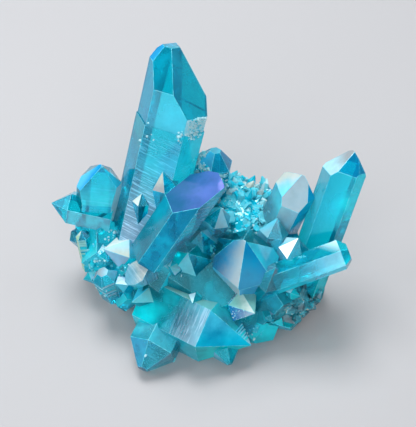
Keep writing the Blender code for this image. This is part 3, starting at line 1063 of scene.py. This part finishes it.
    def _dress_faces(self) -> None:
        """Write the attributes that the clear finish reads, face by face."""
        mesh = self.piece.data
        corners = len(mesh.loops)
        numbers = {name: [0.0] * corners for name in ("tone", "film_and_sheen_cover", "film_sweep", "growth_lines")}
        tints = {name: [0.0] * (4 * corners) for name in ("film_and_sheen_low", "film_and_sheen_high")}
        growth = [0.0] * (2 * corners)
        rng = random.Random(self.seed)
        spans = self._face_spans()
        for polygon in mesh.polygons:
            owner = self.owner(polygon.center, polygon.normal)
            look = self._look_of(owner, polygon, rng)
            along, across = self._growth_axes(owner, polygon.normal)
            spots = [mesh.vertices[mesh.loops[i].vertex_index].co for i in polygon.loop_indices]
            reach = [spot.dot(Vector(look.sweep)) for spot in spots]
            least, most = spans.get(owner, (min(reach), max(reach)))
            if owner is None and polygon.material_index == Finish.CLEAR.value and self._is_rubble(polygon):
                polygon.material_index = Finish.BARE_STONE.value
            tone_end = look.tone if look.tone_end is None else look.tone_end
            cover_end = look.cover if look.cover_end is None else look.cover_end
            for loop, spot, value in zip(polygon.loop_indices, spots, reach):
                share = (value - least) / max(most - least, LEAST_SPAN_M)
                numbers["tone"][loop] = look.tone + (tone_end - look.tone) * share
                numbers["film_and_sheen_cover"][loop] = look.cover + (cover_end - look.cover) * share
                numbers["film_sweep"][loop] = share
                numbers["growth_lines"][loop] = look.lines
                tints["film_and_sheen_low"][4 * loop:4 * loop + 4] = (*look.low, 1)
                tints["film_and_sheen_high"][4 * loop:4 * loop + 4] = (*(look.high or look.low), 1)
                growth[2 * loop:2 * loop + 2] = (spot.dot(along) / MM, spot.dot(across) / MM)
        for name, values in numbers.items():
            mesh.attributes.new(name, "FLOAT", "CORNER").data.foreach_set("value", values)
        for name, values in tints.items():
            mesh.attributes.new(name, "FLOAT_COLOR", "CORNER").data.foreach_set("color", values)
        uv = mesh.uv_layers.get("growth") or mesh.uv_layers.new(name="growth")
        uv.data.foreach_set("uv", growth)

    def _face_spans(self) -> dict[Owner, tuple[float, float]]:
        """Measure how far every face of a point reaches along its sweep, over all its pieces.

        Returns:
            The least and the most reach of every face.
        """
        mesh = self.piece.data
        spans: dict[Owner, tuple[float, float]] = {}
        for polygon in mesh.polygons:
            owner = self.owner(polygon.center, polygon.normal)
            if owner is None:
                continue
            look = self._named_look(owner)
            reach = [mesh.vertices[v].co.dot(Vector(look.sweep)) for v in polygon.vertices]
            least, most = spans.get(owner, (math.inf, -math.inf))
            spans[owner] = (min(least, *reach), max(most, *reach))
        return spans

    @staticmethod
    def _named_look(owner: Owner) -> FaceLook:
        """Find the look of a point's face.

        Args:
            owner: The face.

        Returns:
            Its own look, or plain quartz of a depth drawn for it.
        """
        name, kind, number = owner
        look = FACE_LOOKS.get(face_key(owner))
        if look is not None:
            return look
        rng = random.Random(sum(ord(letter) for letter in name) + 31 * number + ord(kind.value))
        tint, tone = rng.choice((0, 0, 0.1, 0.2)), rng.uniform(0.1, 0.6)
        return FaceLook(tone, tone + 0.2, low=PALE_BLUE, high=LILAC, cover=tint)

    def _look_of(self, owner: Optional[Owner], polygon: bpy.types.MeshPolygon,
                 rng: random.Random) -> FaceLook:
        """Find the look of any face.

        Args:
            owner: The point's face that it belongs to, or None on the core.
            polygon: The face.
            rng: Source of repeatable random numbers, for the core.

        Returns:
            The look of the point's face, or one by the size of the face and where it faces.
        """
        if owner is not None:
            return self._named_look(owner)
        draw = rng.random()
        facing = polygon.normal.dot(Vector(self.sky_side).normalized())
        small = polygon.area < self.small_face_mm2 * MM * MM
        # Small core faces that look towards the sky side turn white to pearl: a painted reflection of the sky.
        if facing > self.skyward and draw < self.sky_reflection_share and small:
            return FaceLook(0.6, low=WHITE, high=PEARL, cover=0.8)
        if draw < self.tinted_share and small:
            return FaceLook(0.4, low=LILAC, high=GREEN_CREAM, cover=0.4)
        return FaceLook(0.35 + 0.6 * rng.random(), cover=0.1 * draw)

    def _growth_axes(self, owner: Optional[Owner], normal: Vector) -> tuple[Vector, Vector]:
        """Find the directions of the growth of a face.

        Args:
            owner: The point's face that it belongs to, or None on the core.
            normal: The face's normal.

        Returns:
            Directions along and across the growth.
        """
        axis = POINTS[owner[0]].axis() if owner else Vector(self.core_growth).normalized()
        along = axis - normal * axis.dot(normal)
        along = (along if along.length > LEAST_SLOPE else normal.orthogonal()).normalized()
        if owner:
            along = self._turned(along, normal, face_key(owner))
        return along, normal.cross(along)

    def _is_rubble(self, polygon: bpy.types.MeshPolygon) -> bool:
        """Whether a face is part of the broken stone."""
        away = [(polygon.center[i] / MM - self.rubble_centre[i]) / self.rubble_radii[i] for i in range(3)]
        return sum(part * part for part in away) < 1


@dataclass(frozen=True)
class CrustZone:
    """A place where fine grains cover the body.

    Centre and radii are millimetres in the part's frame. Size is the width of the grains, from the least to
    the most, tallness their height by their width, and tilt how unevenly they stand. Pallor makes them
    whiter, partly as pale crust and partly as painted glints and painted light, and warmth makes them creamy.
    They stand on the named faces of points, or else on the core, and thin out towards the edge of the zone.
    Side is a direction that the covered faces look towards, and least_facing how closely. Stony zones wear the
    finish of the broken stone.
    """

    name: str
    centre: Place
    radii: Place
    grains: int
    size: tuple[float, float]
    shapes: tuple[GrainShape, ...] = (GrainShape.POINT, GrainShape.SHARD)
    pallor: float = 1.0
    tilt: float = 0.5
    tallness: tuple[float, float] = (0.4, 0.9)
    faces: tuple[str, ...] = ()
    side: Place = (0, 0, 1)
    least_facing: float = -0.2
    warmth: float = 0.0
    stony: bool = False


SHARDS = (GrainShape.SHARD,)
SHARDS_AND_POINTS = (GrainShape.SHARD, GrainShape.POINT)
PLATES = (GrainShape.PLATE, GrainShape.PLATE, GrainShape.SHARD)
BLADES = (GrainShape.POINT, GrainShape.POINT, GrainShape.PLATE, GrainShape.SHARD)

CRUST_ZONES = (
    CrustZone("dome_rim", (-1, 16, 42), (5, 8, 6), 120, (0.4, 1.0), pallor=1.7,
              faces=("back_dome_point.E0",)),
    CrustZone("dome_foot", (0, 12, 41.2), (5, 3.4, 1.8), 70, (0.4, 0.9), pallor=1.7,
              faces=("back_dome_point.E1",)),
    CrustZone("dome_side", (0, 12, 40), (6, 4, 4), 60, (0.5, 1.0), pallor=1.5,
              faces=("back_dome_point.L1",)),
    CrustZone("dome_front", (6, 11, 38), (4, 4, 6), 50, (0.6, 1.3), PLATES, 1.4,
              faces=("back_dome_point.L2",)),
    CrustZone("plate_slope", (12.5, 6, 28.5), (9.5, 13, 5.5), 110, (2.2, 4.6), PLATES, 0.5,
              0.42, (0.5, 0.9)),
    CrustZone("slope_chips", (12, 8, 28.5), (8, 11, 6), 70, (0.9, 2.0), SHARDS, 1.1,
              0.6, (0.6, 1.1)),
    # The sugar's many white grains are partly painted glints.
    CrustZone("slope_sugar", (12, 8, 29.5), (8, 12, 6), 200, (0.3, 0.8), pallor=2.4, tallness=(0.8, 2.4)),
    CrustZone("ridge_points", (15.5, 18, 25), (5.5, 3.5, 3), 16, (2.2, 3.6), SHARDS_AND_POINTS, 0.6,
              0.3, (1.0, 1.5), warmth=1.0),
    # The scar's grains are mostly white: partly white crust and partly painted light on faces that lie in
    # shade.
    CrustZone("tall_scar", (-1.9, 12.7, 58.8), (4.6, 5, 4.4), 280, (0.2, 0.75), pallor=2.6,
              faces=("tall_point.L1", "tall_point_step.L1")),
    CrustZone("tall_nicks", (-6.2, 8.8, 58.6), (1.8, 2.4, 3.2), 16, (0.4, 1.0), pallor=1.3,
              faces=("tall_point.L0", "tall_point_step.L0")),
    CrustZone("tall_specks", (-15, 11, 58), (6, 5, 9), 9, (0.3, 0.8), pallor=1.3,
              faces=("tall_point.L0", "tall_point_step.L0", "tall_point_step.L5")),
    CrustZone("ledge_sparkle", (11.5, -26, 18), (5, 3, 4), 44, (0.15, 0.42), pallor=1.3,
              faces=("front_ledge_point.E3", "front_ledge_point.E4", "front_point.E1")),
    CrustZone("valley_seams", (0, -6, 30), (22, 16, 10), 60, (0.25, 0.6)),
    CrustZone("left_seams", (-28, -6, 16), (12, 12, 12), 90, (0.3, 1.0)),
    CrustZone("right_stone", (29, -10, 9), (12, 12, 9), 46, (1.8, 4.6), SHARDS, 0.8,
              0.35, stony=True),
    CrustZone("back_crust", (4, 24, 18), (34, 20, 18), 520, (0.8, 3.2), BLADES, 0.8,
              0.45, (0.6, 1.5), side=(0, 1, 0.4), least_facing=-0.1),
    CrustZone("front_foot", (-4, -28, 6), (24, 14, 6), 60, (0.25, 0.7), side=(0, -1, 0)),
)


@dataclass
class SparklingCrust:
    """Fine crystals, plates and chips that stand on the body between the points.

    Each zone tries so many places for a grain, and edge_fade is how sharply it ends. Grains turn about their
    height by up to turn_range, in radians, and their faces are a little paler or darker than the grain.
    """

    body: CrystalBody
    seed: int = 3
    lowest_mm: float = 1.5
    tries: int = 60
    edge_fade: float = 1.6
    least_patch_m2: float = 1e-9
    turn_range: float = 6.3
    paler: float = 0.25
    darker: float = 0.15

    def _model_point(self) -> bpy.types.Object:
        """Model a six-sided crystal with a pointed end, one unit wide, around the origin."""
        bpy.ops.mesh.primitive_cylinder_add(vertices=SIDES, radius=0.5, depth=1.2, location=(0, 0, 0))
        grain = self._start_on_top()
        bpy.ops.mesh.extrude_region_move(TRANSFORM_OT_translate={"value": (0.06, 0.02, 0.55)})
        bpy.ops.transform.resize(value=(0.16, 0.16, 0.16))
        bpy.ops.object.mode_set(mode="OBJECT")
        return grain

    def _model_plate(self) -> bpy.types.Object:
        """Model a flat six-sided plate with sloping edges, one unit wide."""
        bpy.ops.mesh.primitive_cylinder_add(vertices=SIDES, radius=0.5, depth=0.26, location=(0, 0, 0))
        grain = self._start_on_top()
        bpy.ops.mesh.extrude_region_move(TRANSFORM_OT_translate={"value": (0.03, -0.02, 0.07)})
        bpy.ops.transform.resize(value=(0.72, 0.80, 1))
        bpy.ops.object.mode_set(mode="OBJECT")
        return grain

    def _model_shard(self) -> bpy.types.Object:
        """Model a chip with uneven slanted sides, one unit wide."""
        bpy.ops.mesh.primitive_cube_add(size=0.9, location=(0, 0, 0.1))
        grain = bpy.context.active_object
        bpy.ops.object.mode_set(mode="EDIT")
        for slope in ((0.8, 0.3, 0.5), (-0.5, 0.6, 0.6), (0.1, -0.9, 0.45)):
            bpy.ops.mesh.select_all(action="SELECT")
            normal = Vector(slope).normalized()
            bpy.ops.mesh.bisect(plane_co=normal * 0.34, plane_no=normal, use_fill=True, clear_outer=True)
        bpy.ops.object.mode_set(mode="OBJECT")
        return grain

    @staticmethod
    def _start_on_top() -> bpy.types.Object:
        """Go to edit mode with the active object's upward faces selected."""
        grain = bpy.context.active_object
        bpy.ops.object.mode_set(mode="EDIT")
        bpy.ops.mesh.select_mode(type="FACE")
        bpy.ops.mesh.select_all(action="DESELECT")
        shape = bmesh.from_edit_mesh(grain.data)
        for face in shape.faces:
            face.select = face.normal.z > 0.9
        bmesh.update_edit_mesh(grain.data)
        return grain

    def _model_shapes(self) -> dict[GrainShape, tuple[list, list]]:
        """Model every shape of grain once.

        Returns:
            Corners and faces of every shape.
        """
        makers = {
            GrainShape.POINT: self._model_point, GrainShape.PLATE: self._model_plate,
            GrainShape.SHARD: self._model_shard}
        shapes = {}
        for shape, maker in makers.items():
            deselect_all()
            grain = maker()
            corners = [vertex.co.copy() for vertex in grain.data.vertices]
            shapes[shape] = (corners, sorted(tuple(polygon.vertices) for polygon in grain.data.polygons))
            bpy.data.objects.remove(grain)
        return shapes

    def _is_covered(self, zone: CrustZone, polygon: bpy.types.MeshPolygon) -> bool:
        """Tell whether the zone covers a face.

        Args:
            zone: The zone.
            polygon: The face of the body.

        Returns:
            Whether it looks the right way and is one of the zone's own, or part of the core.
        """
        if polygon.normal.dot(Vector(zone.side).normalized()) < zone.least_facing:
            return False
        if polygon.material_index == Finish.EDGE_WEAR_AND_GLINT.value:
            return False
        owner = self.body.owner(polygon.center, polygon.normal)
        return face_key(owner) in zone.faces if owner else not zone.faces

    def _sites(self, zone: CrustZone, rng: random.Random) -> Iterator[tuple[Vector, Vector]]:
        """Pick places on the faces of the body inside one zone.

        Args:
            zone: The zone to cover.
            rng: Source of repeatable random numbers.

        Yields:
            Place and face normal, in metres.
        """
        mesh = self.body.piece.data
        mesh.calc_loop_triangles()
        centre = Vector(zone.centre) * MM
        choices, weights = [], []
        for triangle in mesh.loop_triangles:
            polygon = mesh.polygons[triangle.polygon_index]
            corners = [mesh.vertices[v].co for v in triangle.vertices]
            if triangle.area < self.least_patch_m2 or not self._is_covered(zone, polygon):
                continue
            choices.append((corners, polygon.normal.copy()))
            weights.append(triangle.area)
        if not choices:
            return
        for corners, normal in rng.choices(choices, weights, k=self.tries * zone.grains):
            first, second = sorted((rng.random(), rng.random()))
            spot = corners[0] * first + corners[1] * (second - first) + corners[2] * (1 - second)
            away = sum(((spot[i] - centre[i]) / (zone.radii[i] * MM)) ** 2 for i in range(3))
            if rng.random() < self.edge_fade * (1 - away) and spot.z > self.lowest_mm * MM:
                yield spot, normal

    def build(self, material: bpy.types.Material, stone: bpy.types.Material) -> list[bpy.types.Object]:
        """Cover every zone with grains.

        Args:
            material: The crust's material.
            stone: The material of the stony zones.

        Returns:
            One finished piece for every zone.
        """
        shapes = self._model_shapes()
        rng = random.Random(self.seed)
        return [self._cover(zone, shapes, rng, stone if zone.stony else material) for zone in CRUST_ZONES]

    def _cover(self, zone: CrustZone, shapes: dict[GrainShape, tuple[list, list]], rng: random.Random,
               material: bpy.types.Material) -> bpy.types.Object:
        """Cover one zone with grains.

        Args:
            zone: The zone.
            shapes: Corners and faces of every shape of grain.
            rng: Source of repeatable random numbers.
            material: The zone's material.

        Returns:
            The finished piece.
        """
        vertices, polygons, shades = [], [], []
        for made, (spot, normal) in enumerate(self._sites(zone, rng)):
            if made >= zone.grains:
                break
            corners, faces = shapes[rng.choice(zone.shapes)]
            move = self._stance(zone, spot, normal, rng)
            start = len(vertices)
            vertices.extend(move @ corner for corner in corners)
            polygons.extend(tuple(start + index for index in face) for face in faces)
            shade = min(1.0, rng.random() * zone.pallor)
            shades.extend(
                min(1.0, shade + rng.uniform(-self.darker, self.paler)) + zone.warmth for _ in faces)
        mesh = bpy.data.meshes.new(f"crust_{zone.name}")
        mesh.from_pydata(vertices, [], polygons)
        mesh.attributes.new("grain", "FLOAT", "FACE").data.foreach_set("value", shades)
        mesh.materials.append(material)
        piece = bpy.data.objects.new(f"crust_{zone.name}", mesh)
        bpy.context.scene.collection.objects.link(piece)
        log.info("%s: %d faces", piece.name, len(polygons))
        return piece

    def _stance(self, zone: CrustZone, spot: Vector, normal: Vector, rng: random.Random) -> Matrix:
        """Draw how a grain stands.

        Args:
            zone: The grain's zone.
            spot: The place that it stands on.
            normal: Normal of the face that it stands on.
            rng: Source of repeatable random numbers.

        Returns:
            Place, turn and size of the grain.
        """
        lean = Vector([rng.gauss(0, zone.tilt) for _ in range(3)])
        stand = (normal + lean).normalized().to_track_quat("Z", "Y").to_matrix().to_4x4()
        width = rng.uniform(*zone.size) * MM
        turn = stand @ Matrix.Rotation(rng.random() * self.turn_range, 4, "Z")
        scale = Matrix.Diagonal((width, width, width * rng.uniform(*zone.tallness), 1))
        return Matrix.Translation(spot) @ turn @ scale


@dataclass(frozen=True)
class Softbox:
    """A square soft light that looks at the middle of the cluster.

    Heading is its compass, with 0 to the right and 90 to the back, and height its angle above the floor.
    """

    name: str
    heading: float
    height: float
    distance: float
    size: float
    watts: float

    def away(self) -> Vector:
        """Unit vector from the cluster to the light."""
        up, around = math.radians(self.height), math.radians(self.heading)
        return Vector((math.cos(up) * math.cos(around), math.cos(up) * math.sin(around), math.sin(up)))


SOFTBOXES = (
    Softbox("back_key", 104, 64, 0.75, 0.35, 7.6),
    Softbox("left_box", 180, 47, 0.6, 0.24, 1.2),
    Softbox("front_panel", -98, 36, 1.0, 1.2, 10.5),
    Softbox("right_box", 26, 50, 0.7, 0.3, 0.8),
)


@dataclass
class Studio:
    """Pale floor, soft lights and the camera at the photo's angle."""

    floor_size: float = 6.0
    air: Colour = (0.78, 0.86, 0.95)
    air_strength: float = 0.36
    lit_height: float = 0.035
    camera_place: Place = (0.00135, -0.16805, 0.2348)
    camera_pitch: float = 40
    lens: float = 71.9
    sensor: float = 36
    nearest: float = 0.01

    def build(self, floor_material: bpy.types.Material) -> None:
        """Make the floor, the lights and the camera.

        Args:
            floor_material: The floor's material.
        """
        deselect_all()
        bpy.ops.mesh.primitive_plane_add(size=self.floor_size, location=(0, 0, 0))
        floor = bpy.context.active_object
        floor.name = "studio_floor"
        floor.data.materials.append(floor_material)
        for box in SOFTBOXES:
            self._light(box)
        self._fill_air()
        self._place_camera()

    def _light(self, box: Softbox) -> None:
        """Place one soft light."""
        light = bpy.data.lights.new(box.name, "AREA")
        light.shape = "SQUARE"
        light.size = box.size
        light.energy = box.watts
        lamp = bpy.data.objects.new(box.name, light)
        lamp.location = box.away() * box.distance + Vector((0, 0, self.lit_height))
        lamp.rotation_euler = box.away().to_track_quat("Z", "Y").to_euler()
        bpy.context.scene.collection.objects.link(lamp)

    def _fill_air(self) -> None:
        """Light everything softly from all around."""
        world = bpy.data.worlds.new("studio_air")
        world.use_nodes = True
        background = world.node_tree.nodes["Background"]
        background.inputs["Color"].default_value = (*self.air, 1)
        background.inputs["Strength"].default_value = self.air_strength
        bpy.context.scene.world = world
        bpy.context.scene.view_settings.view_transform = "Standard"

    def _place_camera(self) -> None:
        """Put the camera where the photo was taken from."""
        lens = bpy.data.cameras.new("photo_view")
        lens.lens = self.lens
        lens.sensor_width = self.sensor
        lens.clip_start = self.nearest
        camera = bpy.data.objects.new("photo_view", lens)
        camera.location = self.camera_place
        camera.rotation_euler = (math.radians(self.camera_pitch), 0, 0)
        bpy.context.scene.collection.objects.link(camera)
        bpy.context.scene.camera = camera


def main() -> None:
    """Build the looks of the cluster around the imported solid."""
    logging.basicConfig(level=logging.INFO, format="%(name)s: %(message)s")
    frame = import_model()

    clear = ClearAuraFinish()
    materials = [clear.make(), WearAndGlintEdgeFinish().make(clear), BareStoneFinish().make(clear)]
    body = CrystalBody(frame["nodes"][NODE])
    piece = body.build(materials)
    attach(piece, "root")
    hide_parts(NODE)
    log.info("%s: %d faces", piece.name, len(piece.data.polygons))

    chips = BareStoneFinish().make(None)
    for crust in SparklingCrust(body).build(CrustFinish().make(), chips):
        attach(crust, "root")

    Studio().build(FloorFinish().make())


if __name__ == "__main__":
    main()
